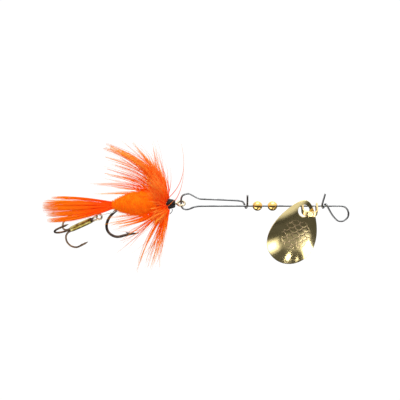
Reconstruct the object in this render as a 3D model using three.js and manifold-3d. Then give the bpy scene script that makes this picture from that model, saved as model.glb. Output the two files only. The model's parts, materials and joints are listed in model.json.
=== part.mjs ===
// Inline spinner: a wire shaft with two beads, a clevis and a blade, and a feathered
// hook clipped to its rear end that trails a treble hook on a mono link.
// Units are millimetres. +X points forward along the shaft, +Z is up, and the origin
// is the middle of the front line eye.

import * as THREE from "three";
import { mergeVertices } from "three/addons/utils/BufferGeometryUtils.js";
import Module from "manifold-3d";

const wasm = await Module();
wasm.setup();

const DEG = Math.PI / 180;

function vec(x, y, z) {
  return new THREE.Vector3(x, y, z);
}

// Shaft
const WIRE_R = 0.25;
const SHAFT_Z = 2.0; // shaft axis above the line eye's centre
const EYE_R = 2.0; // centreline radius of the line eye's nose
const EYE_ARC_START = -130 * DEG;
const WRAP_R = 2 * WIRE_R + 0.05; // centreline radius of a wrap round the shaft
const FRONT_WRAP_X = -3.6;
const FRONT_WRAP_PITCH = 1.35;
const REAR_WRAP_X = -25.1;
const REAR_WRAP_PITCH = 1.1;
const REAR_WRAP_ARC = [125 * DEG, 370 * DEG];
const CLIP_X = -41.55; // the clip's rear end, where the hook's eye hangs
const CLIP_TOP_Z = 3.7;

// Beads
const BEAD_R = 1.27;
const BEAD_BORE_R = 0.34;
const REAR_BEAD_X = -21.7;
const FRONT_BEAD_X = -17.8;

// Clevis
const CLEVIS_X = -8.2;
const CLEVIS_HALF_LENGTH = 2.1;
const CLEVIS_DEPTH = 3.4; // shaft axis to the bow's middle
const CLEVIS_STRIP = 1.5;
const CLEVIS_GAUGE = 0.42;
const CLEVIS_BEND_R = 1.3;
const CLEVIS_TURN = -52 * DEG; // from straight down towards the near side
const CLEVIS_YAW = 8 * DEG;
const CLEVIS_HOLE_R = WIRE_R + 0.1;

// Blade
const BLADE_LENGTH = 18.2;
const BLADE_HALF_WIDTH = 6.2;
const BLADE_EGG = 0.3; // how far the widest part lies below the middle
const BLADE_TAPER = 0.08;
const BLADE_CUP = 2.0; // depth of the bowl
const BLADE_GAUGE = 0.35;
const BLADE_HOLE_R = 1.55;
const BLADE_HOLE_BELOW_TIP = 2.6;
const BLADE_HOLE = vec(-9.75, -2.15, 0.75);
const BLADE_LEAN = 16.5 * DEG; // lower end swings rearward
const BLADE_ROLL = 14 * DEG; // rear edge turns towards the near side
const BLADE_PITCH = 16 * DEG; // tip turns towards the near side

// Front hook
const HOOK_WIRE_R = 0.36;
const HOOK_EYE_WIRE_R = 0.3;
const HOOK_EYE_R = 0.95;
const HOOK_EYE = vec(CLIP_X, 0, 2.65);
const HOOK_EYE_TILT = 38 * DEG;
const SHANK_FRONT = vec(-43.0, 0, 2.62);
const SHANK_REAR = vec(-56.6, 0, 1.9);
const HOOK_BEND = [
  [-57.9, 1.15], [-59.3, 0.05], [-60.5, -1.5], [-60.95, -3.5], [-60.2, -5.15], [-58.3, -6.05],
  [-56.3, -5.65], [-54.5, -5.2],
];
const HOOK_POINT = vec(-52.6, 0, -5.12);
const HOOK_BARB = [vec(-55.0, 0, -5.3), vec(-56.0, 0, -4.75)];
const HOOK_BARB_R = 0.2;

// Dressing: profiles of [radius, distance rearward from the shank's front]
const SHANK_GAP = 0.05;
const SKIN_GAP = 0.12; // room left round a piece that lies inside another
const THREAD_R = 0.55;
const THREAD_PROFILE = [[THREAD_R, 4.7], [THREAD_R, 12.6]];
const HEAD_PROFILE = [[0.85, 0.1], [1.2, 0.5], [1.4, 1.4], [1.38, 2.2]];
const QUILL_PROFILE = [[1.3, 2.3], [1.55, 2.9], [1.6, 3.8], [1.3, 4.4]];
const TAG_ROUTE = [vec(-43.9, 0, 1.2), vec(-43.75, 0, 0.6), vec(-44.5, 0, -0.1)];
const TAG_R = 0.11;
const BODY_FRONT = vec(-48.0, 0, 3.1);
const BODY_REAR = vec(-59.3, 0, 2.3);
const BODY_PROFILE = [
  [0, 0], [2.1, 0], [2.9, 0.9], [3.3, 2.6], [3.35, 4.4], [2.95, 6.3], [2.2, 8.4], [1.2, 10.4],
  [0.8, 11.3], [0, 11.3],
];
const BODY_BORE = [vec(-47.0, 0, 2.41), vec(-55.8, 0, 1.94)]; // follows the shank
const HACKLE_PROFILE = [[1.75, 3.1], [2.7, 3.6], [5, 5.2], [8.5, 7.6], [12.5, 10.2], [16.4, 12.2]];
const HACKLE_GAUGE = 0.9;
const HACKLE_FLATNESS = 0.4; // how much narrower it is than it is high
const HACKLE_DROP = 0.08; // how much longer its lower side is

// Tail: the root, middle and tip of each strand, with its height and thickness
const TAIL = [
  {
    name: "tail_top_strand", y: 0.25, high: 0.5, thick: 0.8,
    root: [-59.6, 3.0], middle: [-66, 4.1], tip: [-75.2, 4.2],
  },
  {
    name: "tail_main_bundle", y: 0, high: 2.7, thick: 1.5,
    root: [-59.6, 2.15], middle: [-66, 2.1], tip: [-77.4, 2.0],
  },
  {
    name: "tail_lower_strand", y: -0.2, high: 0.7, thick: 1.0,
    root: [-60.3, 1.2], middle: [-66.5, 0.15], tip: [-76.5, -0.35],
  },
  {
    name: "tail_bottom_strand", y: -0.5, high: 0.65, thick: 0.9,
    root: [-61.2, 0.45], middle: [-67, -1.0], tip: [-76.2, -1.75],
  },
];
const TAIL_ROOT_SHARE = 0.3; // a strand's root as a share of its full thickness

// Treble hook and its link
const TREBLE_PIN = vec(-62.2, 0, -0.5); // front of the treble's eye
const TREBLE_WIRE_R = 0.27;
const TREBLE_EYE_R = 0.75;
const TREBLE_SHANK = 10.6; // pin to the start of the bends
const TREBLE_BEND_R = 2.4;
const TREBLE_POINT = 3.2; // length of the straight point
const TREBLE_TIP = 0.95; // length of the ground tip
const TREBLE_BARB_R = 0.16;
const TREBLE_DROOP = 21.5 * DEG;
const TREBLE_YAW = 27 * DEG;
const TREBLE_PRONGS = [114 * DEG, -6 * DEG, -126 * DEG]; // from the near side downwards
const BRAZE_PROFILE = [
  [0.65, 3.4], [0.68, 3.3], [0.78, 3.9], [0.78, 9.4], [0.68, 10.0], [0.65, 9.9], [0.65, 3.4],
];
const LINK_R = 0.14;
const LINK_HALF_WIDTH = 0.52;
const LINK_STRAND = [[-57.4, 0.95], [-58.6, 0.6], [-60.4, 0.0]];

function finish(color, roughness, metalness) {
  return new THREE.MeshStandardMaterial({ color, roughness, metalness });
}

const FINISH = {
  steel: finish(0x8f8f8a, 0.3, 1),
  brass: finish(0xd9b873, 0.25, 1),
  gold: finish(0xb49a5c, 0.18, 1),
  bronze: finish(0x4a2f22, 0.35, 1),
  orange: finish(0xff7a10, 0.9, 0),
  red: finish(0xf0440c, 0.85, 0),
  flame: finish(0xf8551a, 0.7, 0),
  thread: finish(0x1c1a1a, 0.5, 0),
  mono: finish(0xe6e6e0, 0.15, 0),
  braze: finish(0xb98a3a, 0.35, 1),
};

const spinner = new THREE.Group();

function addPiece(name, geometry, material) {
  const mesh = new THREE.Mesh(geometry, material);
  mesh.name = name;
  spinner.add(mesh);
  return mesh;
}

// A path that passes through each of its points in equal steps of its parameter,
// so a wire has many steps in its bends and few in its straight runs.
class Route extends THREE.Curve {
  constructor(points) {
    super();
    this.points = points;
  }

  getPoint(t, target = vec(0, 0, 0)) {
    const last = this.points.length - 1;
    const place = Math.min(Math.max(t, 0), 1) * last;
    const index = Math.min(Math.floor(place + 1e-9), last - 1);
    return target.lerpVectors(this.points[index], this.points[index + 1], place - index);
  }

  getTangent(t, target = vec(0, 0, 0)) {
    const last = this.points.length - 1;
    const index = Math.round(t * last);
    const before = this.points[Math.max(index - 1, 0)];
    const after = this.points[Math.min(index + 1, last)];
    return target.subVectors(after, before).normalize();
  }

  getPointAt(u, target) {
    return this.getPoint(u, target);
  }

  getTangentAt(u, target) {
    return this.getTangent(u, target);
  }
}

function circleShape(radius, sides) {
  const corners = [];
  for (let i = 0; i < sides; i += 1) {
    const angle = (i / sides) * 2 * Math.PI;
    corners.push(new THREE.Vector2(radius * Math.cos(angle), radius * Math.sin(angle)));
  }
  return new THREE.Shape(corners);
}

function sweep(shape, points) {
  const extrudePath = new Route(points);
  const steps = points.length - 1;
  return new THREE.ExtrudeGeometry(shape, { extrudePath, steps, bevelEnabled: false });
}

function wire(points, radius, sides = 8) {
  return sweep(circleShape(radius, sides), points);
}

function spline(points, steps) {
  return new THREE.CatmullRomCurve3(points, false, "centripetal").getSpacedPoints(steps);
}

// Points of the middle plane, from pairs of X and Z.
function inPlane(pairs, y = 0) {
  return pairs.map(([x, z]) => vec(x, y, z));
}

// Points round an arc of the XZ plane, angles measured from +X towards +Z.
function arc(centreX, centreZ, radius, from, to, steps) {
  const points = [];
  for (let i = 0; i <= steps; i += 1) {
    const angle = from + ((to - from) * i) / steps;
    points.push(vec(centreX + radius * Math.cos(angle), 0, centreZ + radius * Math.sin(angle)));
  }
  return points;
}

// A turn of wire round the shaft: angles measured from the near side over the top.
function wrap(startX, pitch, from, to, steps) {
  const points = [];
  for (let i = 0; i <= steps; i += 1) {
    const angle = from + ((to - from) * i) / steps;
    const x = startX + (pitch * (angle - from)) / (2 * Math.PI);
    points.push(vec(x, -WRAP_R * Math.cos(angle), SHAFT_Z + WRAP_R * Math.sin(angle)));
  }
  return points;
}

// A body of revolution whose faces point out whichever way its profile is listed.
function lathe(profile, segments) {
  const points = profile.map(([radius, along]) => new THREE.Vector2(radius, along));
  if (THREE.ShapeUtils.area(points) < 0) {
    points.reverse();
  }
  return new THREE.LatheGeometry(points, segments);
}

// A body of revolution laid from one point towards another; the profile's second
// coordinate is the distance from the first point.
function latheAlong(profile, segments, from, to) {
  const geometry = lathe(profile, segments);
  const direction = to.clone().sub(from).normalize();
  geometry.applyQuaternion(new THREE.Quaternion().setFromUnitVectors(vec(0, 1, 0), direction));
  return geometry.translate(from.x, from.y, from.z);
}

function toSolid(geometry) {
  const bare = geometry.clone();
  bare.deleteAttribute("normal");
  bare.deleteAttribute("uv");
  const merged = mergeVertices(bare, 1e-4);
  const vertProperties = new Float32Array(merged.attributes.position.array);
  const triVerts = new Uint32Array(merged.index.array);
  return new wasm.Manifold(new wasm.Mesh({ numProp: 3, vertProperties, triVerts }));
}

function toGeometry(solid) {
  const mesh = solid.getMesh();
  const geometry = new THREE.BufferGeometry();
  geometry.setAttribute("position", new THREE.BufferAttribute(mesh.vertProperties, 3));
  geometry.setIndex(new THREE.BufferAttribute(mesh.triVerts, 1));
  return geometry;
}

function cut(geometry, tools) {
  let solid = toSolid(geometry);
  for (const tool of tools) {
    solid = solid.subtract(toSolid(tool));
  }
  return toGeometry(solid);
}

function join(geometries) {
  let solid = toSolid(geometries[0]);
  for (const geometry of geometries.slice(1)) {
    solid = solid.add(toSolid(geometry));
  }
  return toGeometry(solid);
}

// Shaft: one wire, wrapped round itself at the line eye and at the rear clip.
function shaftPoints() {
  const frontTag = [vec(-4.1, -WRAP_R, 5.2), vec(-4.5, -WRAP_R, 3.8), vec(-4.85, -WRAP_R, 2.7)];
  const frontStart = FRONT_WRAP_X - FRONT_WRAP_PITCH;
  const frontWrap = wrap(frontStart, -FRONT_WRAP_PITCH, 0, -2 * Math.PI, 14);
  const eyeRise = [vec(-3.1, -0.42, 1.1), vec(-2.4, -0.16, -0.25)];
  const nose = arc(0, SHAFT_Z - EYE_R, EYE_R, EYE_ARC_START, 90 * DEG, 16);
  const clipDip = [[-36.6, SHAFT_Z], [-38.2, 1.7], [-39.7, 1.12], [-40.9, 1.2], [CLIP_X, 2.0]];
  const clipRise = [
    [CLIP_X, CLIP_TOP_Z], [-41.3, 4.55], [-40.7, 4.95], [-39.6, 5.2], [-38.6, 4.75], [-36.9, 3.9],
    [-35.2, 3.75],
  ];
  const clipRun = [vec(-30.5, 0, 3.6), vec(-26.2, 0.02, 3.37), vec(-25.5, 0.15, 3.15)];
  const rearWrap = wrap(REAR_WRAP_X, REAR_WRAP_PITCH, ...REAR_WRAP_ARC, 10);
  const rearTag = [vec(-24.3, -WRAP_R, 3.0), vec(-24.3, -WRAP_R, 4.9)];
  return [
    ...frontTag, ...frontWrap, ...eyeRise, ...nose, ...spline(inPlane(clipDip), 12),
    ...spline(inPlane(clipRise), 18), ...clipRun, ...rearWrap, ...rearTag,
  ];
}

function addShaft() {
  addPiece("shaft_wire", wire(shaftPoints(), WIRE_R), FINISH.steel);
}

function addBeads() {
  const rim = Math.asin(BEAD_BORE_R / BEAD_R);
  const rings = 12;
  for (const [name, x] of [["rear_bead", REAR_BEAD_X], ["front_bead", FRONT_BEAD_X]]) {
    const profile = [];
    for (let i = 0; i <= rings; i += 1) {
      const angle = rim + ((Math.PI - 2 * rim) * i) / rings;
      profile.push([BEAD_R * Math.sin(angle), BEAD_R * Math.cos(angle)]);
    }
    profile.push(profile[0]);
    const bead = lathe(profile, 20).rotateZ(90 * DEG);
    addPiece(name, bead, FINISH.brass).position.set(x, 0, SHAFT_Z);
  }
}

// A point of an XZ path moved sideways, as a 2-D point.
function offsetInPlane(path, index, distance) {
  const before = path[Math.max(index - 1, 0)];
  const after = path[Math.min(index + 1, path.length - 1)];
  const tangent = after.clone().sub(before).normalize();
  return new THREE.Vector2(path[index].x + tangent.z * distance, path[index].z - tangent.x * distance);
}

// Clevis: a strip folded to a U, its two legs drilled for the shaft. It is built with
// the shaft axis at the origin and the bow straight below, then turned round the shaft.
function addClevis() {
  const half = CLEVIS_HALF_LENGTH - CLEVIS_GAUGE / 2;
  const corner = CLEVIS_BEND_R;
  const path = [
    vec(-half, 0, CLEVIS_STRIP / 2),
    ...arc(corner - half, corner - CLEVIS_DEPTH, corner, 180 * DEG, 270 * DEG, 6),
    ...arc(half - corner, corner - CLEVIS_DEPTH, corner, 270 * DEG, 360 * DEG, 6),
    vec(half, 0, CLEVIS_STRIP / 2),
  ];
  const inner = path.map((point, i) => offsetInPlane(path, i, -CLEVIS_GAUGE / 2));
  const outer = path.map((point, i) => offsetInPlane(path, i, CLEVIS_GAUGE / 2));
  const outline = new THREE.Shape([...outer, ...inner.reverse()]);
  const strip = new THREE.ExtrudeGeometry(outline, { depth: CLEVIS_STRIP, bevelEnabled: false })
    .translate(0, 0, -CLEVIS_STRIP / 2)
    .rotateX(90 * DEG)
    .rotateZ(CLEVIS_YAW)
    .rotateX(CLEVIS_TURN);
  const drill = new THREE.CylinderGeometry(CLEVIS_HOLE_R, CLEVIS_HOLE_R, 4 * CLEVIS_HALF_LENGTH, 16);
  addPiece("clevis", cut(strip, [drill.rotateZ(90 * DEG)]), FINISH.brass)
    .position.set(CLEVIS_X, 0, SHAFT_Z);
}

// Blade: an egg-shaped sheet, bowled towards the near side. A unit disc is turned on
// a lathe and then drawn out to the egg. The origin of its frame is the hole's centre,
// with +Y towards the tip and +Z on the crowned side.
function bladeGeometry() {
  const halfLength = BLADE_LENGTH / 2;
  const holeAt = 1 - BLADE_HOLE_BELOW_TIP / halfLength;
  const rings = 7;
  const profile = [];
  for (let i = 0; i <= rings; i += 1) {
    profile.push([i / rings, BLADE_GAUGE / 2]);
  }
  for (let i = rings; i >= 0; i -= 1) {
    profile.push([i / rings, -BLADE_GAUGE / 2]);
  }
  const sheet = lathe(profile, 36).rotateX(90 * DEG);
  const spots = sheet.attributes.position;
  for (let i = 0; i < spots.count; i += 1) {
    const x = spots.getX(i);
    const y = spots.getY(i);
    const width = BLADE_HALF_WIDTH * x * (1 - BLADE_EGG * y - BLADE_TAPER * y * y);
    const depth = BLADE_CUP * (x * x + y * y - holeAt * holeAt);
    spots.setXYZ(i, width, halfLength * (y - holeAt), spots.getZ(i) - depth);
  }
  const slope = Math.atan((2 * BLADE_CUP * holeAt) / halfLength);
  const punch = new THREE.CylinderGeometry(BLADE_HOLE_R, BLADE_HOLE_R, 2 * BLADE_CUP, 28)
    .rotateX(90 * DEG - slope);
  return cut(sheet, [punch]);
}

function addBlade() {
  const blade = bladeGeometry()
    .rotateX(90 * DEG)
    .rotateX(BLADE_PITCH)
    .rotateZ(BLADE_ROLL)
    .rotateY(BLADE_LEAN);
  addPiece("blade", blade, FINISH.gold).position.copy(BLADE_HOLE);
}

// Front hook: a closed eye, a straight shank, a round bend and a barbed point.
function hookPoints() {
  return [SHANK_FRONT, ...spline([SHANK_REAR, ...inPlane(HOOK_BEND)], 22)];
}

// A sharp cone that grows out of a wire's end.
function pointCone(from, to, radius) {
  const length = from.distanceTo(to);
  return latheAlong([[0, -0.02], [radius, -0.02], [0.03, length], [0, length]], 8, from, to);
}

function eyeRing(radius, wireRadius) {
  return new THREE.TorusGeometry(radius, wireRadius, 8, 20);
}

function addFrontHook() {
  const points = hookPoints();
  const eye = eyeRing(HOOK_EYE_R, HOOK_EYE_WIRE_R)
    .rotateX(HOOK_EYE_TILT)
    .translate(HOOK_EYE.x, HOOK_EYE.y, HOOK_EYE.z);
  const neckFront = HOOK_EYE.clone().add(vec(-HOOK_EYE_R, 0, 0));
  const neck = wire([neckFront, SHANK_FRONT.clone().add(vec(-0.2, 0, 0))], HOOK_EYE_WIRE_R);
  const shank = wire(points, HOOK_WIRE_R);
  const tip = pointCone(points[points.length - 1], HOOK_POINT, HOOK_WIRE_R * 0.97);
  const barb = pointCone(...HOOK_BARB, HOOK_BARB_R);
  addPiece("fly_hook", join([shank, neck, eye, tip, barb]), FINISH.bronze);
}

// Each wound piece of the dressing is a ring round the shank.
function shankRing(profile) {
  const bore = HOOK_WIRE_R + SHANK_GAP;
  const [front, rear] = [profile[0][1], profile[profile.length - 1][1]];
  const closed = [...profile, [bore, rear], [bore, front], profile[0]];
  return latheAlong(closed, 16, SHANK_FRONT, SHANK_REAR);
}

function addWindings() {
  addPiece("shank_thread", shankRing(THREAD_PROFILE), FINISH.thread);
  addPiece("thread_head", shankRing(HEAD_PROFILE), FINISH.thread);
  addPiece("hackle_wraps", shankRing(QUILL_PROFILE), FINISH.red);
  addPiece("thread_tag", wire(TAG_ROUTE, TAG_R, 6), FINISH.thread);
}

// Body: a fat egg of dubbing round the shank, open for the shank's thread, the hook's
// bend and the two strands of the link.
function addBody() {
  const egg = latheAlong(BODY_PROFILE, 24, BODY_FRONT, BODY_REAR);
  const bore = wire(BODY_BORE, THREAD_R + SKIN_GAP, 16);
  const bendRoom = wire(hookPoints().slice(0, 9), HOOK_WIRE_R + SKIN_GAP);
  const linkRoom = wire(linkPoints(), LINK_R + SKIN_GAP);
  addPiece("body_dubbing", cut(egg, [bore, bendRoom, linkRoom]), FINISH.orange);
}

// Link: a loop of mono whose two strands leave the body either side of the hook's
// bend and whose bight passes through the treble's eye.
function linkPoints() {
  const bight = arc(0, 0, LINK_HALF_WIDTH, 90 * DEG, 270 * DEG, 8)
    .map((point) => vec(TREBLE_PIN.x + point.x, point.z, TREBLE_PIN.z));
  return [
    ...inPlane(LINK_STRAND, LINK_HALF_WIDTH),
    ...bight,
    ...inPlane(LINK_STRAND, -LINK_HALF_WIDTH).reverse(),
  ];
}

function addLink() {
  addPiece("stinger_link", wire(linkPoints(), LINK_R), FINISH.mono);
}

// Hackle: a flared collar of long fibres, flattened from side to side.
function addHackle() {
  const back = HACKLE_PROFILE.map(([radius, along]) => [radius, along + HACKLE_GAUGE]).reverse();
  const collar = lathe([...HACKLE_PROFILE, ...back, HACKLE_PROFILE[0]], 32);
  const spots = collar.attributes.position;
  for (let i = 0; i < spots.count; i += 1) {
    const [x, z] = [spots.getX(i), spots.getZ(i)];
    const flare = THREE.MathUtils.smoothstep(Math.hypot(x, z), 2, 9);
    spots.setX(i, x * (1 - HACKLE_FLATNESS * flare));
    spots.setZ(i, z * (z < 0 ? 1 + HACKLE_DROP * flare : 1));
  }
  const tilt = Math.atan2(SHANK_REAR.z - SHANK_FRONT.z, SHANK_FRONT.x - SHANK_REAR.x);
  collar.rotateZ(90 * DEG).rotateY(tilt).translate(SHANK_FRONT.x, SHANK_FRONT.y, SHANK_FRONT.z);
  addPiece("hackle_collar", collar, FINISH.flame);
}

// Tail: four flat bundles of long fibres that leave the body's rear end side by side.
function nearestPoint(route, x) {
  return route.reduce((best, point) => (Math.abs(point.x - x) < Math.abs(best.x - x) ? point : best));
}

function tailStrand({ y, root, middle, tip, high, thick }) {
  const route = spline(inPlane([root, middle, tip], y), 8);
  const strand = sweep(circleShape(1, 10), route);
  const spots = strand.attributes.position;
  const length = root[0] - tip[0];
  for (let i = 0; i < spots.count; i += 1) {
    const along = THREE.MathUtils.clamp((root[0] - spots.getX(i)) / length, 0, 1);
    const growth = Math.sin(Math.min(along * 1.6, 1) * 90 * DEG);
    const share = (TAIL_ROOT_SHARE + (1 - TAIL_ROOT_SHARE) * growth) / 2;
    const nearest = nearestPoint(route, spots.getX(i));
    const dy = (spots.getY(i) - y) * thick * share;
    const dz = (spots.getZ(i) - nearest.z) * high * share;
    spots.setXYZ(i, nearest.x, y + dy, nearest.z + dz);
  }
  return strand;
}

function addTail() {
  for (const strand of TAIL) {
    addPiece(strand.name, tailStrand(strand), FINISH.flame);
  }
}

// Treble: one wire folded at the eye into two prongs, a third prong laid beside it,
// and a braze that holds them. Its frame has the shank along -X from the pin.
function prongPoints(angle) {
  const offset = (2 * (TREBLE_WIRE_R + 0.02)) / Math.sqrt(3); // three wires side by side
  const bendZ = offset + TREBLE_BEND_R;
  const pointEnd = TREBLE_POINT - TREBLE_SHANK - TREBLE_TIP;
  const flat = [
    vec(-3.0, 0, offset),
    vec(-TREBLE_SHANK, 0, offset),
    ...arc(-TREBLE_SHANK, bendZ, TREBLE_BEND_R, 255 * DEG, 90 * DEG, 11),
    vec(pointEnd, 0, bendZ + TREBLE_BEND_R - 0.15),
  ];
  const turn = new THREE.Quaternion().setFromAxisAngle(vec(1, 0, 0), Math.PI / 2 + angle);
  return flat.map((point) => point.applyQuaternion(turn));
}

function prongTip(points) {
  const end = points[points.length - 1];
  const forward = end.clone().sub(points[points.length - 2]).normalize();
  const outward = vec(0, end.y, end.z).normalize();
  const tip = end.clone().addScaledVector(forward, TREBLE_TIP);
  const root = end.clone().addScaledVector(forward, -0.7);
  const barb = root.clone().addScaledVector(forward, -0.75).addScaledVector(outward, -0.4);
  return [pointCone(end, tip, TREBLE_WIRE_R * 0.97), pointCone(root, barb, TREBLE_BARB_R)];
}

// The bend that brings a prong's wire from one side of the eye to the shank.
function trebleNeck(points, side) {
  const bend = spline([vec(-1.3, 0, side * 0.5), vec(-2.0, 0, side * 0.42), points[0]], 4);
  return wire([...bend, points[1]], TREBLE_WIRE_R);
}

function placeTreble(geometry) {
  return geometry
    .rotateY(-TREBLE_DROOP)
    .rotateZ(-TREBLE_YAW)
    .translate(TREBLE_PIN.x, TREBLE_PIN.y, TREBLE_PIN.z);
}

function addTreble() {
  const [lower, near, upper] = TREBLE_PRONGS.map(prongPoints);
  const ring = eyeRing(TREBLE_EYE_R, TREBLE_WIRE_R).rotateX(90 * DEG).translate(-TREBLE_EYE_R, 0, 0);
  const pair = join([
    ring, trebleNeck(lower, -1), trebleNeck(upper, 1), wire(lower, TREBLE_WIRE_R),
    wire(upper, TREBLE_WIRE_R), ...prongTip(lower), ...prongTip(upper),
  ]);
  const single = join([wire(near, TREBLE_WIRE_R), ...prongTip(near)]);
  const sleeve = lathe(BRAZE_PROFILE, 16).rotateZ(90 * DEG);
  addPiece("treble_pair", placeTreble(pair), FINISH.bronze);
  addPiece("treble_third", placeTreble(single), FINISH.bronze);
  addPiece("treble_braze", placeTreble(sleeve), FINISH.braze);
}

addShaft();
addBeads();
addClevis();
addBlade();
addFrontHook();
addWindings();
addBody();
addHackle();
addTail();
addLink();
addTreble();

export default spinner;
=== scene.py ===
import json
import math
import random

import bmesh
import bpy
from mathutils import Matrix, Vector, noise


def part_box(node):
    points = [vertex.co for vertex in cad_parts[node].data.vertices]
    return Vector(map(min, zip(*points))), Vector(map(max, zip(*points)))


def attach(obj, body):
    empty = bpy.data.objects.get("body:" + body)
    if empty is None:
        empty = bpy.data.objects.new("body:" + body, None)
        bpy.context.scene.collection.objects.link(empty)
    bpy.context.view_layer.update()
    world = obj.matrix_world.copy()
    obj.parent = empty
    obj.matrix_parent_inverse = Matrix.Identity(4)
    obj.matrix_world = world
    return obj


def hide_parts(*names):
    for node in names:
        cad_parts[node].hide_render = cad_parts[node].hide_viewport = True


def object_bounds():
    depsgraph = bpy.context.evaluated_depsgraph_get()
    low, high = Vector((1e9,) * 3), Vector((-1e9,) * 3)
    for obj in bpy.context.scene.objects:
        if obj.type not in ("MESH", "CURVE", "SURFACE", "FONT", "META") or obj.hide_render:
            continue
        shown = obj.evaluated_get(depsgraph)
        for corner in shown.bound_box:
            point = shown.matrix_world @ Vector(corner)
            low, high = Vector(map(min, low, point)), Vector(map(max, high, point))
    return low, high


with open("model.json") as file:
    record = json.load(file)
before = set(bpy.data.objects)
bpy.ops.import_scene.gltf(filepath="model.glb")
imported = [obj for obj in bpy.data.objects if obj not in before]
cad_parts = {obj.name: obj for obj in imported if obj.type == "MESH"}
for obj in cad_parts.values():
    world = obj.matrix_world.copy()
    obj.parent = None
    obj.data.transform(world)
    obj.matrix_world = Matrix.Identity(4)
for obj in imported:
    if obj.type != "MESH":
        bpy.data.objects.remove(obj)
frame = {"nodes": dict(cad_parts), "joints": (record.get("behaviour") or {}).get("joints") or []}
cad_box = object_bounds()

MM = 0.001
DEG = math.pi / 180
REAR = Vector((-1, 0, 0))
FRONT = Vector((1, 0, 0))

joints = {joint["name"]: joint for joint in frame["joints"]}


def centre(node):
    low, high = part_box(node)
    return (low + high) / 2


def height(node):
    low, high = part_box(node)
    return high.z - low.z


# Places that come from the frame
SHAFT_Z = centre("front_bead").z
BLADE_HOLE = Vector(joints["blade_swing"]["pos_m"])
NECK = centre("hackle_wraps")
NECK_R = height("hackle_wraps") / 2


# ---------------------------------------------------------------- materials

class Shader:
    """A Principled material, with short calls to add and join its nodes."""

    def __init__(self, name):
        self.material = bpy.data.materials.new(name)
        self.material.use_nodes = True
        self.tree = self.material.node_tree
        self.principled = self.tree.nodes["Principled BSDF"]

    def feed(self, socket, value):
        if isinstance(value, bpy.types.NodeSocket):
            self.tree.links.new(value, socket)
        elif isinstance(value, tuple) and socket.type == "RGBA":
            socket.default_value = (*value, 1)
        else:
            socket.default_value = value

    def add(self, kind, inputs, **settings):
        node = self.tree.nodes.new(kind)
        for key, value in settings.items():
            setattr(node, key, value)
        for key, value in inputs.items():
            self.feed(node.inputs[key], value)
        return node

    def set(self, **values):
        for key, value in values.items():
            self.feed(self.principled.inputs[key.replace("_", " ")], value)

    def attribute(self, name):
        return self.add("ShaderNodeAttribute", {}, attribute_name=name).outputs["Fac"]

    def ramp(self, factor, stops):
        node = self.add("ShaderNodeValToRGB", {"Fac": factor})
        elements = node.color_ramp.elements
        while len(elements) < len(stops):
            elements.new(0.5)
        for element, (place, colour) in zip(elements, stops):
            element.position = place
            element.color = (*colour, 1)
        return node.outputs["Color"]

    def mix(self, factor, a, b, blend="MIX"):
        node = self.add("ShaderNodeMix", {0: factor, 6: a, 7: b}, data_type="RGBA", blend_type=blend)
        return node.outputs[2]

    def math(self, operation, a, b=0.0, c=0.0):
        return self.add("ShaderNodeMath", {0: a, 1: b, 2: c}, operation=operation).outputs[0]

    def noise(self, scale, detail=2.0):
        place = self.add("ShaderNodeTexCoord", {}).outputs["Object"]
        inputs = {"Vector": place, "Scale": scale, "Detail": detail}
        return self.add("ShaderNodeTexNoise", inputs).outputs["Fac"]

    def bump(self, height, strength, distance):
        inputs = {"Height": height, "Strength": strength, "Distance": distance}
        self.feed(self.principled.inputs["Normal"], self.add("ShaderNodeBump", inputs).outputs[0])


# Pale brass of the painted highlight on the hooks' eyes, and how far in it fades
HIGHLIGHT_BRASS = (0.68, 0.58, 0.4)
HIGHLIGHT_FADE = 0.7 * MM


def metal(name, dark, light, roughness, grain_scale, grain_depth, highlight_from=None):
    """A metal whose colour and gloss vary over fine grain and broad tarnish.

    In front of the given x, towards the front end, the colour fades to pale brass: a painted highlight.
    """
    shader = Shader(name)
    tarnish = shader.noise(420, 3)
    grain = shader.noise(grain_scale, 3)
    colour = shader.ramp(tarnish, [(0.35, dark), (0.65, light)])
    # Painted highlight: the colour turns pale brass in front of the given x
    if highlight_from is not None:
        place = shader.add("ShaderNodeTexCoord", {}).outputs["Object"]
        x = shader.add("ShaderNodeSeparateXYZ", {0: place}).outputs["X"]
        painted_highlight = shader.add(
            "ShaderNodeMapRange", {"Value": x, "From Min": highlight_from - HIGHLIGHT_FADE, "From Max": highlight_from},
        ).outputs[0]
        colour = shader.mix(painted_highlight, colour, HIGHLIGHT_BRASS)
    rough = shader.math("MULTIPLY_ADD", grain, roughness, roughness * 0.5)
    shader.set(Base_Color=colour, Metallic=1.0, Roughness=rough)
    shader.bump(grain, 0.25, grain_depth)
    return shader.material


def fibre(name, root, middle, tip, shadow=(0.8, 0.33, 0.4), painted_glow=0.19):
    """Fibre whose colour runs from root to tip and varies between fibres; a painted glow lifts it all over.
    """
    shader = Shader(name)
    colour = shader.ramp(shader.attribute("along"), [(0.0, root), (0.45, middle), (1.0, tip)])
    # The tone darkens the colour towards shadow: painted shade where the tone follows height, as on the
    # body; elsewhere the tone varies at random
    shade = shader.ramp(
        shader.attribute("tone"), [(0.0, shadow), (0.55, (0.95, 0.78, 0.8)), (1.0, (1, 1, 1))],
    )
    dye_and_shade = shader.mix(1.0, colour, shade, "MULTIPLY")
    # Painted glow: the fibre gives off its own colour as light
    shader.set(Base_Color=dye_and_shade, Roughness=0.6, Emission_Color=dye_and_shade, Emission_Strength=painted_glow)
    shader.set(Specular_IOR_Level=0.05, Sheen_Weight=0.015, Sheen_Roughness=0.4)
    shader.bump(shader.noise(2600), 0.3, 0.02 * MM)
    return shader.material


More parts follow.
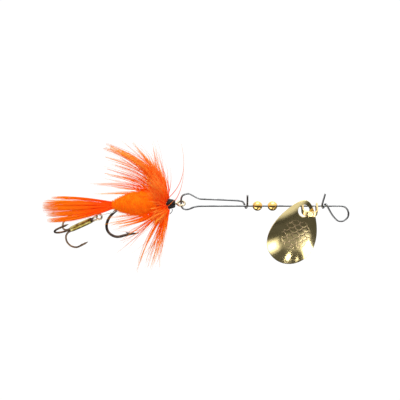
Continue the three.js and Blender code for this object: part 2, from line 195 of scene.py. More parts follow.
def waxed_thread():
    shader = Shader("thread_black")
    wax = shader.noise(1800, 3)
    shader.set(Base_Color=shader.ramp(wax, [(0.3, (0.004, 0.004, 0.004)), (0.8, (0.02, 0.018, 0.018))]))
    shader.set(Roughness=0.42, Specular_IOR_Level=0.4)
    shader.bump(wax, 0.3, 0.02 * MM)
    return shader.material


def clear_mono():
    shader = Shader("link_mono")
    haze = shader.noise(900, 3)
    shader.set(Base_Color=shader.ramp(haze, [(0.3, (0.86, 0.87, 0.84)), (0.7, (0.97, 0.98, 0.96))]))
    shader.set(Transmission_Weight=0.75, IOR=1.52, Roughness=shader.math("MULTIPLY", haze, 0.22))
    return shader.material


def braze():
    """Solder between the treble's shanks: yellow brass, browned by heat in patches."""
    shader = Shader("treble_braze")
    patch = shader.noise(650, 3)
    colour = shader.ramp(
        patch, [(0.34, (0.22, 0.13, 0.03)), (0.46, (0.4, 0.31, 0.07)), (0.62, (0.62, 0.55, 0.22))],
    )
    shader.set(Base_Color=colour, Metallic=1.0, Roughness=shader.math("MULTIPLY_ADD", patch, 0.3, 0.28))
    shader.bump(shader.noise(2200, 3), 0.6, 0.05 * MM)
    return shader.material


def blade_gold():
    """Spun brass: faint rings round the dome's middle, frosted where it is stamped."""
    shader = Shader("blade_gold")
    rings = shader.add(
        "ShaderNodeTexNoise",
        {"W": shader.attribute("ring"), "Scale": 46.0, "Detail": 3.0},
        noise_dimensions="1D",
    ).outputs["Fac"]
    broad = shader.noise(230, 3)
    fine = shader.noise(4200, 2)
    stamp = shader.attribute("stamp")
    colour = shader.ramp(broad, [(0.3, (0.62, 0.5, 0.215)), (0.7, (0.82, 0.68, 0.35))])
    colour = shader.mix(shader.math("MULTIPLY", stamp, 0.75), colour, (0.80, 0.54, 0.36))
    rough = shader.math("MULTIPLY_ADD", rings, 0.13, 0.09)
    rough = shader.math("MULTIPLY_ADD", stamp, 0.25, rough)
    spin = shader.add("ShaderNodeTangent", {}, direction_type="RADIAL", axis="Y").outputs[0]
    shader.set(Base_Color=colour, Metallic=1.0, Roughness=rough)
    shader.set(Anisotropic=0.45, Anisotropic_Rotation=0.25, Tangent=spin)
    shader.bump(shader.math("MULTIPLY_ADD", fine, 0.14, rings), 0.5, 0.008 * MM)
    return shader.material


# ------------------------------------------------------------------- meshes

def add_mesh(name, points, faces, material, attributes=None):
    mesh = bpy.data.meshes.new(name)
    mesh.from_pydata(points, [], faces)
    for key, values in (attributes or {}).items():
        mesh.attributes.new(key, "FLOAT", "POINT").data.foreach_set("value", values)
    mesh.polygons.foreach_set("use_smooth", [True] * len(mesh.polygons))
    mesh.materials.append(material)
    mesh.update()
    piece = bpy.data.objects.new(name, mesh)
    bpy.context.scene.collection.objects.link(piece)
    return piece


def stands_for(piece, body, slot, *nodes):
    """The piece rides on the body, and hides the frame's nodes that it stands for."""
    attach(piece, body)
    if nodes:
        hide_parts(*nodes)


def ring_faces(rows, segments, closed=False):
    """Quads between rings of points; a closed skin also joins its last ring to its first."""
    faces = []
    for i in range(rows if closed else rows - 1):
        after = (i + 1) % rows
        for k in range(segments):
            beside = (k + 1) % segments
            near = i * segments
            far = after * segments
            faces.append((near + k, near + beside, far + beside, far + k))
    return faces


class Bundle:
    """Tapered fibres gathered into one mesh, each with its own tone."""

    def __init__(self, sides=3):
        self.sides = sides
        self.points = []
        self.faces = []
        self.along = []
        self.tone = []

    def add(self, path, radius, tip_radius, tone, power=1.0):
        first = len(self.points)
        last = len(path) - 1
        side = (path[1] - path[0]).orthogonal()
        for i, place in enumerate(path):
            tangent = (path[min(i + 1, last)] - path[max(i - 1, 0)]).normalized()
            side = (side - tangent * side.dot(tangent)).normalized()
            other = tangent.cross(side)
            t = i / last
            r = radius + (tip_radius - radius) * t ** power
            for k in range(self.sides):
                angle = 2 * math.pi * k / self.sides
                self.points.append(place + (side * math.cos(angle) + other * math.sin(angle)) * r)
                self.along.append(t)
                self.tone.append(tone)
        self.faces += [
            tuple(first + corner for corner in face) for face in ring_faces(last + 1, self.sides)
        ]
        start = range(first, first + self.sides)
        end = range(first + last * self.sides, first + (last + 1) * self.sides)
        self.faces += [tuple(reversed(start)), tuple(end)]

    def make(self, name, material):
        attributes = {"along": self.along, "tone": self.tone}
        return add_mesh(name, self.points, self.faces, material, attributes)


def bezier(points, steps):
    """Points along a Bezier curve of any degree."""
    path = []
    for i in range(steps + 1):
        level = list(points)
        while len(level) > 1:
            level = [a.lerp(b, i / steps) for a, b in zip(level, level[1:])]
        path.append(level[0])
    return path


def revolve(name, profile, material, start, direction, segments=64, wobble=None, tone=None):
    """A closed skin of revolution; the profile lists (distance along, radius)."""
    turn = FRONT.rotation_difference(direction)
    points = []
    tones = []
    for along, radius in profile:
        for k in range(segments):
            angle = 2 * math.pi * k / segments
            r = radius + (wobble(along, angle) if wobble else 0)
            spot = Vector((along, r * math.cos(angle), r * math.sin(angle)))
            points.append(start + turn @ spot)
            tones.append(tone(points[-1]) if tone else 1.0)
    faces = ring_faces(len(profile), segments, closed=True)
    return add_mesh(name, points, faces, material, {"tone": tones} if tone else None)


# --------------------------------------------------------- camera and light

VIEW_WIDTH = 104 * MM
VIEW_SHIFT = Vector((0.95 * MM, 0, 1.53 * MM))
LENS = 150
SENSOR = 36
VIEW_CENTRE = Vector(((cad_box[0].x + cad_box[1].x) / 2, 0, SHAFT_Z)) + VIEW_SHIFT


def add_camera():
    data = bpy.data.cameras.new("camera")
    data.lens = LENS
    data.sensor_width = SENSOR
    data.clip_start = 0.01
    data.clip_end = 20
    camera = bpy.data.objects.new("camera", data)
    bpy.context.scene.collection.objects.link(camera)
    camera.location = VIEW_CENTRE + Vector((0, -VIEW_WIDTH * LENS / SENSOR, 0))
    camera.rotation_euler = (90 * DEG, 0, 0)
    bpy.context.scene.camera = camera


def add_panel(name, direction, distance, size, radiance, about=VIEW_CENTRE, shows_in="all"):
    """A soft light panel that faces the object, and shows in metal, in cloth or in all."""
    data = bpy.data.lights.new(name, "AREA")
    data.shape = "RECTANGLE"
    data.size, data.size_y = size
    data.energy = radiance * math.pi * size[0] * size[1]
    panel = bpy.data.objects.new(name, data)
    bpy.context.scene.collection.objects.link(panel)
    toward = Vector(direction).normalized()
    panel.location = about + toward * distance
    panel.rotation_mode = "QUATERNION"
    panel.rotation_quaternion = (-toward).to_track_quat("-Z", "Y")
    panel.visible_camera = False
    panel.visible_glossy = shows_in != "cloth"
    panel.visible_diffuse = shows_in != "metal"


LOW_DISTANCE = 0.2


def add_lights():
    add_panel("top", (0.1, -0.35, 0.9), 0.5, (0.5, 0.36), 3.2)
    add_panel("back", (0.1, 0.8, 0.5), 0.5, (0.4, 0.3), 1.6)
    add_panel("fill", (0.1, -1.0, 0.25), 0.6, (0.5, 0.5), 1.6, shows_in="cloth")
    add_panel("low_glow", (0.3, -0.5, -0.8), 0.3, (0.3, 0.2), 0.3, shows_in="metal")
    # Each of these is one highlight low on the blade, or the soft edge of one
    blade = centre("blade")
    for name, direction, size, radiance in (
        ("low_left", (-0.39, -0.54, -0.74), (0.03, 0.04), 3.0),
        ("low_left_soft", (-0.41, -0.53, -0.74), (0.06, 0.07), 1.8),
        ("low_left_haze", (-0.44, -0.51, -0.74), (0.1, 0.11), 0.9),
        ("low_left_side", (-0.75, -0.2, -0.6), (0.12, 0.09), 2.5),
        ("low_right", (0.69, 0.06, -0.73), (0.11, 0.066), 4.2),
        ("low_right_soft", (0.66, -0.29, -0.69), (0.1, 0.1), 0.8),
        ("low_spot", (0.16, -0.22, -0.96), (0.02, 0.02), 18.0),
        ("low_glint", (0.39, -0.03, -0.92), (0.01, 0.014), 6.0),
    ):
        add_panel(name, direction, LOW_DISTANCE, size, radiance, blade, "metal")


FLOOR_DROP = 0.25
FLOOR_R = 3.0
SEEN_WHITE = (1.05, 1.05, 1.05)
SOFT_WHITE = (0.55, 0.55, 0.55)


def studio_white(tree, mirrored):
    """White where it is looked at, soft where it lights, and its own tone in a mirror."""
    path = tree.nodes.new("ShaderNodeLightPath")
    colour = mirrored
    for ray, white in (("Is Diffuse Ray", SOFT_WHITE), ("Is Camera Ray", SEEN_WHITE)):
        mix = tree.nodes.new("ShaderNodeMix")
        mix.data_type = "RGBA"
        tree.links.new(path.outputs[ray], mix.inputs[0])
        tree.links.new(colour, mix.inputs[6])
        mix.inputs[7].default_value = (*white, 1)
        colour = mix.outputs[2]
    return colour


def add_floor():
    shader = Shader("floor_white")
    cloud = shader.ramp(shader.noise(9, 2), [(0.0, (0.1, 0.1, 0.1)), (1.0, (0.14, 0.14, 0.14))])
    shader.set(Base_Color=(0.0, 0.0, 0.0), Roughness=1.0, Specular_IOR_Level=0.0)
    shader.set(Emission_Color=studio_white(shader.tree, cloud), Emission_Strength=1.0)
    z = cad_box[0].z - FLOOR_DROP
    ring = 64
    corners = [2 * math.pi * k / ring for k in range(ring)]
    points = [Vector((VIEW_CENTRE.x, 0, z))]
    points += [Vector((VIEW_CENTRE.x + FLOOR_R * math.cos(a), FLOOR_R * math.sin(a), z)) for a in corners]
    faces = [(0, 1 + k, 1 + (k + 1) % ring) for k in range(ring)]
    add_mesh("floor", points, faces, shader.material)


def add_world():
    """In a mirror the studio is dark up to the horizon and bright above it."""
    world = bpy.data.worlds.new("studio")
    bpy.context.scene.world = world
    world.use_nodes = True
    tree = world.node_tree
    place = tree.nodes.new("ShaderNodeTexCoord")
    split = tree.nodes.new("ShaderNodeSeparateXYZ")
    band = tree.nodes.new("ShaderNodeValToRGB")
    tree.links.new(place.outputs["Generated"], split.inputs[0])
    tree.links.new(split.outputs["Z"], band.inputs["Fac"])
    band.color_ramp.elements[0].position = 0.06
    band.color_ramp.elements[0].color = (0.055, 0.055, 0.053, 1)
    band.color_ramp.elements[1].position = 0.19
    band.color_ramp.elements[1].color = (1.1, 1.1, 1.1, 1)
    tree.links.new(studio_white(tree, band.outputs["Color"]), tree.nodes["Background"].inputs["Color"])
    bpy.context.scene.view_settings.view_transform = "Standard"


# -------------------------------------------------------------------- metal

WIRE_ROUNDING = 0.109
END_CREASE = 0.7


def round_off(node, body, slot, material, radius):
    """A wire of the frame, its facets rounded by subdivision.

    Subdivision thins a wire, and the swell makes up for it where radius is the wire's own. With a
    smaller radius the wire stays a little thinner.
    """
    mesh = frame["nodes"][node].data.copy()
    shape = bmesh.new()
    shape.from_mesh(mesh)
    bmesh.ops.remove_doubles(shape, verts=shape.verts, dist=0.002 * MM)
    bmesh.ops.join_triangles(
        shape, faces=shape.faces, angle_face_threshold=15 * DEG, angle_shape_threshold=60 * DEG,
    )
    crease = shape.edges.layers.float.new("crease_edge")
    for edge in shape.edges:
        if len(edge.link_faces) == 2 and edge.calc_face_angle() > 60 * DEG:
            edge[crease] = END_CREASE
    shape.to_mesh(mesh)
    shape.free()
    mesh.materials.clear()
    mesh.materials.append(material)
    mesh.polygons.foreach_set("use_smooth", [True] * len(mesh.polygons))
    piece = bpy.data.objects.new(node + "_round", mesh)
    bpy.context.scene.collection.objects.link(piece)
    swell = piece.modifiers.new("swell", "DISPLACE")
    swell.strength = WIRE_ROUNDING * radius
    swell.mid_level = 0
    rounding = piece.modifiers.new("round", "SUBSURF")
    rounding.levels = 2
    rounding.render_levels = 2
    stands_for(piece, body, slot, node)
    return piece


BEAD_BORE_R = 0.34 * MM
BEAD_RIM = 0.06 * MM


def add_beads(material):
    for name in ("rear_bead", "front_bead"):
        radius = height(name) / 2
        low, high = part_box(name)
        half = (high.x - low.x) / 2
        rim = math.asin((BEAD_BORE_R + BEAD_RIM) / radius)
        rings = 32
        profile = []
        for i in range(rings + 1):
            angle = rim + (math.pi - 2 * rim) * i / rings
            profile.append((-radius * math.cos(angle), radius * math.sin(angle)))
        profile += [(half, BEAD_BORE_R), (-half, BEAD_BORE_R)]
        bead = revolve(name + "_round", profile, material, centre(name), FRONT)
        stands_for(bead, name, "bead_brass", name)


# Blade: the frame's egg outline and bowl, on a fine mesh
BLADE_HALF_LENGTH = 9.1 * MM
BLADE_HALF_WIDTH = 6.2 * MM
BLADE_EGG = 0.3
BLADE_TAPER = 0.08
BLADE_CUP = 2.0 * MM
BLADE_GAUGE = 0.35 * MM
BLADE_HOLE_R = 1.55 * MM
BLADE_HOLE_AT = 1 - 2.6 * MM / BLADE_HALF_LENGTH
BLADE_LEAN = 16.5 * DEG
BLADE_ROLL = 14 * DEG
BLADE_PITCH = 16 * DEG
BLADE_BULGE = 0.03 * MM
BLADE_TRIM = 0.993  # keeps the finer rim inside the frame's, clear of the bead
STAMP_MIDDLE = Vector((0, -6.6 * MM))
STAMP_HALF = Vector((3.9 * MM, 4.3 * MM))
STAMP_DEPTH = 0.05 * MM
SCALE_SIZE = 2.1 * MM


def scale_line(x, y):
    """How near a spot lies to the edge of a fish scale: 1 on the edge, 0 away from it."""
    nearest = 1.0
    row = math.floor(y / (SCALE_SIZE / 2))
    for r in (row, row + 1):
        shift = SCALE_SIZE / 2 if r % 2 else 0
        dx = x - shift - round((x - shift) / SCALE_SIZE) * SCALE_SIZE
        dy = y - r * SCALE_SIZE / 2
        if dy < 0.1 * SCALE_SIZE:
            nearest = min(nearest, abs(math.hypot(dx, dy) / SCALE_SIZE - 0.5) / 0.075)
    return 1 - nearest


def stamp_depth(x, y):
    spot = Vector((x, y)) - STAMP_MIDDLE
    patch = math.hypot(spot.x / STAMP_HALF.x, spot.y / STAMP_HALF.y)
    return scale_line(x, y) * max(0.0, min(1.0, (1 - patch) * 8))


def add_blade():
    spokes = 288
    rings = 90

    def disc(x, y):
        v = y / BLADE_HALF_LENGTH + BLADE_HOLE_AT
        u = x / (BLADE_HALF_WIDTH * (1 - BLADE_EGG * v - BLADE_TAPER * v * v))
        return u, v

    def bowl(x, y):
        u, v = disc(x, y)
        return -BLADE_CUP * (u * u + v * v - BLADE_HOLE_AT * BLADE_HOLE_AT)

    def rim(k):
        angle = 2 * math.pi * k / spokes
        v = math.cos(angle)
        width = BLADE_HALF_WIDTH * math.sin(angle) * (1 - BLADE_EGG * v - BLADE_TAPER * v * v)
        return Vector((width, BLADE_HALF_LENGTH * (v - BLADE_HOLE_AT))) * BLADE_TRIM

    sheet = []
    for i in range(rings + 1):
        ring = []
        for k in range(spokes):
            edge = rim(k)
            ring.append((edge.normalized() * BLADE_HOLE_R).lerp(edge, i / rings))
        sheet.append(ring)
    spots = []
    for ring in sheet:
        spots += [(p.x, p.y, bowl(*p) + BLADE_GAUGE / 2 - STAMP_DEPTH * stamp_depth(*p)) for p in ring]
    for p in sheet[-1]:
        out = p + p.normalized() * BLADE_BULGE
        spots.append((out.x, out.y, bowl(*p)))
    for ring in reversed(sheet):
        spots += [(p.x, p.y, bowl(*p) - BLADE_GAUGE / 2 - STAMP_DEPTH * stamp_depth(*p)) for p in ring]
    for p in sheet[0]:
        inward = p - p.normalized() * BLADE_BULGE
        spots.append((inward.x, inward.y, bowl(*p)))
    attributes = {
        "ring": [math.hypot(*disc(x, y)) for x, y, z in spots],
        "stamp": [stamp_depth(x, y) for x, y, z in spots],
    }
    place = (
        Matrix.Translation(BLADE_HOLE)
        @ Matrix.Rotation(BLADE_LEAN, 4, "Y")
        @ Matrix.Rotation(BLADE_ROLL, 4, "Z")
        @ Matrix.Rotation(90 * DEG + BLADE_PITCH, 4, "X")
    )
    points = [place @ Vector(spot) for spot in spots]
    faces = [face[::-1] for face in ring_faces(len(spots) // spokes, spokes, closed=True)]
    blade = add_mesh("blade_domed", points, faces, blade_gold(), attributes)
    stands_for(blade, "blade", "blade_gold", "blade")


def add_clevis(material):
    """The frame's folded strip, with its edges tumbled round."""
    clevis = frame["nodes"]["clevis"]
    clevis.data.materials.clear()
    clevis.data.materials.append(material)
    tumble = clevis.modifiers.new("tumble", "REMESH")
    tumble.mode = "VOXEL"
    tumble.voxel_size = 0.045 * MM
    tumble.use_smooth_shade = True
    polish = clevis.modifiers.new("polish", "SMOOTH")
    polish.factor = 0.5
    polish.iterations = 8


def add_metal():
    steel = metal("steel_wire", (0.19, 0.195, 0.2), (0.35, 0.355, 0.355), 0.19, 4200, 0.004 * MM)
    # The hooks' eyes, in front of these places, get a painted highlight
    eye_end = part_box("thread_head")[1].x
    treble_eye_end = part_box("treble_braze")[1].x + 0.6 * MM
    bronze = metal(
        "hook_bronze", (0.05, 0.036, 0.03), (0.15, 0.105, 0.08), 0.3, 3800, 0.01 * MM, eye_end,
    )
    copper = metal(
        "treble_bronze", (0.09, 0.055, 0.035), (0.26, 0.17, 0.11), 0.28, 3800, 0.01 * MM, treble_eye_end,
    )
    brass = metal("bead_brass", (0.84, 0.52, 0.13), (0.96, 0.66, 0.22), 0.08, 2600, 0.003 * MM)
    strip = metal("clevis_brass", (0.86, 0.6, 0.23), (0.96, 0.74, 0.36), 0.26, 3000, 0.002 * MM)
    round_off("shaft_wire", "shaft", "steel_wire", steel, 0.25 * MM)
    round_off("fly_hook", "fly", "hook_bronze", bronze, 0.36 * MM)
    # Thinner than full round, so that it clears the link at the end of the treble's swing
    round_off("treble_pair", "treble", "treble_bronze", copper, 0.1 * MM)
    round_off("treble_third", "treble", "treble_bronze", copper, 0.27 * MM)
    round_off("treble_braze", "treble", "treble_braze", braze(), 0.2 * MM)
    add_beads(brass)
    add_blade()
    add_clevis(strip)


# ------------------------------------------------------------------ dressing

# Locks of hackle: how far each leans back from upright at its root and over its whole
# length, its length in mm, and its barbs
UPPER_LOCKS = [
    (-14, -9, 9.8, 3), (-6, 1, 10.8, 3), (0, 6, 14.2, 4), (5, 8.5, 17.1, 8), (8, 12, 15.0, 8),
    (8, 14.7, 16.3, 10), (7, 18, 14.5, 12), (6, 21, 18.3, 7), (6, 24, 15.6, 14), (5, 28, 18.6, 24),
    (6, 30, 16.8, 16), (8, 33.5, 19.9, 6), (4, 37, 17.6, 14), (4, 41, 20.4, 26), (5, 43.3, 22.0, 34),
    (6, 45.5, 20.8, 34), (8, 47.3, 21.3, 34), (10, 49.5, 19.4, 22), (18, 51.5, 19.6, 8), (24, 53, 17.8, 12),
    (30, 56, 18.1, 5), (36, 59, 17.9, 8), (42, 62, 17.4, 16), (50, 66.5, 16.8, 6), (54, 70, 13.7, 12),
    (56, 74, 19.9, 14), (62, 77, 13.0, 7), (74, 81, 18.1, 12), (80, 86, 15.5, 4),
]
LOWER_LOCKS = [
    (-12, -7, 8.8, 3), (-2, 0, 13.9, 10), (2, 3, 11.6, 5), (6, 5, 17.2, 10), (6, 9, 19.2, 12),
    (10, 12, 12.8, 6), (12, 14, 17.2, 11), (12, 15, 20.4, 6), (20, 19, 13.6, 5), (29, 23.5, 19.8, 15),
    (31, 33, 11.0, 3), (36, 45, 17.8, 8), (44, 53, 16.8, 8), (52, 61, 13.8, 10), (56, 65, 15.6, 16),
    (64, 72, 15.6, 16), (72, 78, 12.6, 11),
]
BARB_SPREAD = 0.072 * MM
# How far a lock's barbs stand apart at its root, early, late and at its tip
CLINGING = (0.9, 1.6, 1.3, 0.35)
PARTED = (0.8, 0.8, 0.6, 0.4)
# All lower locks are parted, and so are the upper ones that lean back by PARTED_LEAN degrees or less.
# A parted lock is drawn PARTS times, each with its barbs divided by THINNING and more astray.
PARTED_LEAN = 30
PARTS = 5
THINNING = 3
CLINGING_STRAY = 0.01
PARTED_STRAY = 0.024
# Loose barbs: the side of the quill in degrees, how many, and their least, most and usual lean
LOOSE_BARBS = ((0, 56, (-8, 86, 30)), (180, 16, (-8, 78, 12)))
SIDE_LOCKS = 26
WEB_BARBS = 1500
# Strays: each barb's start, bend and tip, as distances in mm forward, sideways and up from the neck
STRAYS = [
    ((1.2, -0.8, 1.4), (7.4, -1.2, 6.5), (4.7, -1.0, 16.2)),
    ((3.2, -0.9, 0.9), (5.2, -1.6, 3.5), (5.6, -1.2, 9.2)),
    ((0.6, -1.4, -0.8), (1.9, -2.3, -0.4), (3.3, -1.5, 1.6)),
    ((1.0, 0.8, 1.2), (2.6, 1.4, 4.8), (2.0, 1.6, 9.5)),
    ((-1.0, -1.2, -1.5), (-4.6, -1.9, -8.8), (-12.2, -1.4, -6.6)),
]
STRAND_TIP_R = 0.016 * MM


def around(angle):
    """The way out from the shank, measured from straight up towards the far side."""
    return Vector((0, math.sin(angle), math.cos(angle)))


def leaning(angle, lean):
    return around(angle) * math.cos(lean) + REAR * math.sin(lean)


def add_hackle(material):
    draw = random.Random(11)
    bundle = Bundle(3)

    def jitter(size):
        return Vector([draw.gauss(0, 1) for _ in range(3)]) * size

    def root_at(angle, back):
        """A spot on the wound quill, or behind it on the front of the body."""
        flare = max(0.0, back) * 0.35
        return NECK + around(angle) * (NECK_R * 0.85 + flare) + REAR * back

    def add_lock(angle, root_lean, lean, length, count, gathers=CLINGING, stray=CLINGING_STRAY):
        """Barbs that leave the quill side by side and cling together at their tips."""
        base = root_at(angle, (lean / (31 * DEG) - 1.1 + draw.gauss(0, 0.15)) * MM)
        aim = leaning(angle, lean)
        early = leaning(angle + draw.gauss(0, 5) * DEG, root_lean)
        late = leaning(angle, lean + 0.65 * (lean - root_lean))
        end = NECK + aim * length
        route = [base, base + early * length * 0.36, end - late * length * 0.36, end]
        route = [place + jitter(stray * length) for place in route]
        across = early.cross(aim + Vector((0, 0.2, 0))).normalized()
        beside = across.cross(aim).normalized()
        width = BARB_SPREAD * math.sqrt(count)
        lock_tone = draw.uniform(0.28, 0.95)
        for _ in range(count):
            offset = across * draw.gauss(0, width) + beside * draw.gauss(0, width)
            reach = min(1.02, draw.triangular(0.62, 1.08, 0.96))
            path = [
                place + offset * gather + jitter(0.05 * MM)
                for place, gather in zip(route, gathers)
            ]
            whole = bezier(path, 20)
            tone = min(1.0, max(0.0, lock_tone + draw.gauss(0, 0.18)))
            kept = max(8, round(20 * reach)) + 1
            bundle.add(whole[:kept], draw.uniform(0.06, 0.095) * MM, STRAND_TIP_R, tone, 1.0)

    def add_barb(root_angle, back, early, chord, length, thick, wander=0.02):
        """One barb: it leaves the quill along one direction and ends along another."""
        root = root_at(root_angle, back)
        points = [root, root + early * length * 0.5 + jitter(length * wander), root + chord * length]
        bundle.add(bezier(points, 9), thick, STRAND_TIP_R, draw.random(), 0.8)

    for middle, locks in ((0, UPPER_LOCKS), (180, LOWER_LOCKS)):
        for root_lean, lean, length, count in locks:
            angle = (middle + draw.gauss(0, 11)) * DEG
            if middle == 0 and lean > PARTED_LEAN:
                add_lock(angle, root_lean * DEG, lean * DEG, length * MM, count)
                continue
            for _ in range(PARTS):
                turn = angle + draw.gauss(0, 5) * DEG
                slant = (lean + draw.gauss(0, 2.6)) * DEG
                size = length * draw.uniform(0.78, 1.02) * MM
                barbs = math.ceil(count / THINNING)
                add_lock(turn, root_lean * DEG, slant, size, barbs, PARTED, PARTED_STRAY)
    for middle, count, slants in LOOSE_BARBS:
        for _ in range(count):
            turn = (middle + draw.gauss(0, 18)) * DEG
            lean = draw.triangular(*slants) * DEG
            early = leaning(turn, lean - draw.uniform(8, 30) * DEG)
            length = draw.uniform(8, 16.4) * MM
            add_barb(turn, 0, early, leaning(turn, lean), length, draw.uniform(0.035, 0.06) * MM, 0.04)
    for side in (-90, 90):
        for _ in range(SIDE_LOCKS):
            angle = (side + draw.uniform(-58, 58)) * DEG
            lean = draw.uniform(0, 34) * DEG
            length = draw.uniform(6, 9) * (1 + 0.6 * max(0.0, math.cos(angle)))
            add_lock(angle, lean - 0.35, lean, length * MM, 5)
    for _ in range(WEB_BARBS):
        root_angle = draw.uniform(-180, 180)
        straight = 0 if abs(root_angle) < 100 else math.copysign(180, root_angle)
        angle = (root_angle + (straight - root_angle) * draw.uniform(0.05, 0.8)) * DEG
        rise = math.cos(angle)
        side_share = 1 - abs(rise)
        longest = 3.5 + (6.2 if rise > 0 else 0.9) * rise * rise
        most = 30 + 25 * max(0.0, rise) + 12 * side_share
        lean = draw.triangular(-6, most, 14 + 8 * side_share) * DEG
        reach = longest * draw.uniform(0.35, 1) * MM
        back = draw.uniform(-0.9, 1.7) * MM
        early = leaning(angle, lean - 0.3)
        add_barb(root_angle * DEG, back, early, leaning(angle, lean), reach, 0.075 * MM)
    for stray in STRAYS:
        points = [NECK + Vector(place) * MM for place in stray]
        bundle.add(bezier(points, 16), 0.12 * MM, STRAND_TIP_R, 0.5, 1.2)
    hackle = bundle.make("hackle_fibres", material)
    stands_for(hackle, "fly", "hackle_orange", "hackle_collar")


def add_quill(material):
    """The hackle's stem, wound side by side behind the head."""
    low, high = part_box("hackle_wraps")
    turns = 4
    bundle = Bundle(8)
    path = []
    steps = turns * 24
    for i in range(steps + 1):
        t = i / steps
        angle = 2 * math.pi * turns * t
        radius = NECK_R - 0.28 * MM - 0.25 * MM * abs(2 * t - 1) ** 2
        x = low.x + 0.25 * MM + (high.x - low.x - 0.5 * MM) * t
        path.append(Vector((x, NECK.y + radius * math.cos(angle), NECK.z + radius * math.sin(angle))))
    bundle.add(path, 0.27 * MM, 0.25 * MM, 0.6)
    stands_for(bundle.make("hackle_quill", material), "fly", "hackle_orange", "hackle_wraps")


BODY_FIBRES = 6500


def add_body(material, core_material):
    draw = random.Random(5)
    low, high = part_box("body_dubbing")
    middle_z = centre("body_dubbing").z
    start = Vector((high.x, 0, middle_z + 0.25 * MM))
    end = Vector((low.x, 0, middle_z - 0.65 * MM))
    axis = end - start
    direction = axis.normalized()
    widest = height("body_dubbing") / 2 - 0.1 * MM

    def egg(t):
        """The body's radius at t, from 0 at its front to 1 at the tail."""
        return widest * math.sin(math.pi * (0.16 + 0.82 * t ** 0.92)) ** 0.7

    def lumps(along, angle):
        ring = noise.noise(Vector((along * 5200, math.cos(angle) * 2, math.sin(angle) * 2)))
        lump = noise.noise(Vector((along * 700, math.cos(angle) * 1.5, math.sin(angle) * 1.5)))
        return (0.09 * ring + 0.14 * lump) * MM

    rows = 80
    tip = 0.01 * MM
    profile = [(axis.length * i / rows, egg(i / rows) * 0.93) for i in range(rows + 1)]
    profile = [(0, tip), *profile, (axis.length, tip)]

    # Painted shade: the core is lighter towards the top and darker underneath, with patches at random
    # besides
    def patches_and_painted_shade(place):
        return 0.45 + 0.8 * noise.noise(place * 800) + 0.35 * (place.z - middle_z) / widest

    core = revolve("body_core", profile, core_material, start, direction, 96, lumps, patches_and_painted_shade)
    stands_for(core, "fly", "body_dubbing_orange", "body_dubbing")

    bundle = Bundle(3)
    turn = FRONT.rotation_difference(direction)
    for _ in range(BODY_FIBRES):
        t = draw.random()
        angle = draw.uniform(0, 2 * math.pi)
        out = turn @ Vector((0, math.cos(angle), math.sin(angle)))
        across = turn @ Vector((0, -math.sin(angle), math.cos(angle)))
        base = start + axis * t + out * egg(t) * 0.9
        way = across * draw.choice((-1, 1)) + out * draw.uniform(0.05, 0.6)
        way += direction * draw.gauss(0.05, 0.25)
        way.normalize()
        size = draw.uniform(0.5, 1.3) * MM
        middle = base + way * size * 0.5
        curl = (way - out * 0.4).normalized()
        # Painted shade: the fuzz is lighter towards the top, with tone at random besides
        tone = 0.5 + 0.26 * out.z + 0.55 * noise.noise(base * 900) + draw.gauss(0, 0.2)
        path = bezier([base, middle, middle + curl * size * 0.5], 3)
        bundle.add(path, 0.045 * MM, 0.012 * MM, min(1.0, max(0.0, tone)))
    stands_for(bundle.make("body_fuzz", material), "fly", "body_dubbing_orange")


# Tail strands: how many fibres, and how far they spread past the frame's strand
TAIL_STRANDS = {
    "tail_top_strand": (50, 0.25), "tail_main_bundle": (330, 0.02),
    "tail_lower_strand": (110, 0.4), "tail_bottom_strand": (120, 0.45),
}
TAIL_FIBRE_R = 0.085 * MM
TAIL_FIBRE_TIP_R = 0.011 * MM


def add_tail(material):
    draw = random.Random(3)
    body_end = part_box("body_dubbing")[0].x + 1.6 * MM
    root = Vector((body_end, 0, centre("tail_main_bundle").z + 0.3 * MM))
    for name, (count, spread) in TAIL_STRANDS.items():
        low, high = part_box(name)
        spots = [vertex.co for vertex in frame["nodes"][name].data.vertices]
        reach = high.x - low.x

        def section(t):
            """The strand's corners in Y and Z, at t from its root to its tip."""
            near = [p for p in spots if abs(high.x - p.x - reach * t) < reach * 0.08]
            ys = [p.y for p in near]
            zs = [p.z for p in near]
            return Vector((0, min(ys), min(zs))), Vector((0, max(ys), max(zs)))

        sections = [section(t) for t in (0, 0.5, 1)]
        bundle = Bundle(3)
        for _ in range(count):
            share = Vector((0, draw.random(), draw.uniform(-spread, 1 + spread)))
            drift = Vector((0, draw.gauss(0, 0.12), draw.gauss(0, 0.13)))
            length = reach * min(1.01, draw.triangular(0.72, 1.1, 0.97) - 0.05 * abs(share.z - 0.4))
            jitter = Vector([draw.uniform(-1, 1) * size for size in (0.3, 0.35, 0.6)]) * MM
            points = [root + jitter]
            for t, (a, b) in zip((0.05, 0.5, 1), sections):
                where = share + drift * t
                spot = a + Vector((0, (b.y - a.y) * where.y, (b.z - a.z) * where.z))
                points.append(Vector((high.x - length * t, spot.y, spot.z)))
            clump = noise.noise(Vector((high.x * 900, share.y * 2.5, share.z * 4.5)))
            tone = min(1.0, max(0.0, 0.55 + 0.9 * clump + draw.gauss(0, 0.2)))
            bundle.add(bezier(points, 12), TAIL_FIBRE_R, TAIL_FIBRE_TIP_R, tone, 1.7)
        stands_for(bundle.make(name + "_fibres", material), "fly", "tail_orange", name)


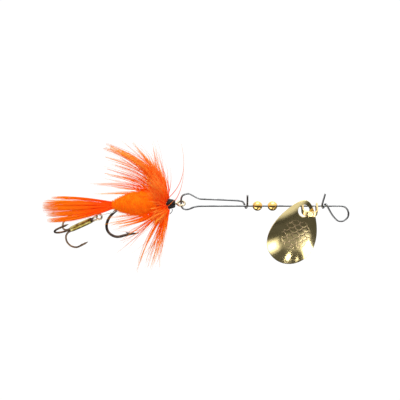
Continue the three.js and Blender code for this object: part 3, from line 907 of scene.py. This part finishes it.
def add_head(material):
    """The tying thread: two layers wound over a tapered head."""
    low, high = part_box("thread_head")
    middle = centre("thread_head")
    length = high.x - low.x
    widest = height("thread_head") / 2
    thread_r = 0.08 * MM

    def radius(t):
        return widest * (1 - 0.32 * t ** 2) - 2 * thread_r

    turns = 14
    steps = turns * 20
    bundle = Bundle(6)
    for layer in (0, 1):
        path = []
        for i in range(steps + 1):
            t = i / steps
            place = t if layer else 1 - t
            angle = 2 * math.pi * turns * t + layer
            r = radius(place) + layer * thread_r
            x = low.x + thread_r + place * (length - 2 * thread_r)
            path.append(Vector((x, middle.y + r * math.cos(angle), middle.z + r * math.sin(angle))))
        bundle.add(path, thread_r, thread_r, 0.5)
    stands_for(bundle.make("head_thread", material), "fly", "thread_black", "thread_head")
    rows = 10
    bore = 0.4 * MM
    profile = [(length * i / rows, radius(i / rows)) for i in range(rows + 1)]
    profile = [(0, bore), *profile, (length, bore)]
    core = revolve("head_core", profile, material, Vector((low.x, 0, middle.z)), FRONT, 32)
    stands_for(core, "fly", "thread_black")


def add_dressing():
    hackle = fibre("hackle_orange", (1.0, 0.055, 0.002), (1.0, 0.18, 0.003), (1.0, 0.44, 0.06))
    tail = fibre("tail_orange", (1.0, 0.065, 0.002), (1.0, 0.105, 0.002), (1.0, 0.34, 0.008))
    deep = (1.0, 0.18, 0.002)
    # Darkest tone of the body: painted shade underneath, and tone that varies at random
    shade_brown = (0.8, 0.5, 0.5)
    # The body's fibres take a stronger painted glow, the last number of each
    fuzz = fibre("body_dubbing_orange", deep, (1.0, 0.25, 0.003), (1.0, 0.42, 0.006), shade_brown, 0.24)
    core = fibre("body_core_orange", deep, deep, deep, shade_brown, 0.26)
    thread = waxed_thread()
    add_hackle(hackle)
    add_quill(hackle)
    add_body(fuzz, core)
    add_tail(tail)
    add_head(thread)
    round_off("thread_tag", "fly", "thread_black", thread, 0.11 * MM)
    # Thinner than full round, so that it clears the treble's eye
    round_off("stinger_link", "fly", "link_mono", clear_mono(), 0.02 * MM)
    binding = frame["nodes"]["shank_thread"]
    binding.data.materials.clear()
    binding.data.materials.append(thread)


add_camera()
add_floor()
add_world()
add_lights()
add_metal()
add_dressing()
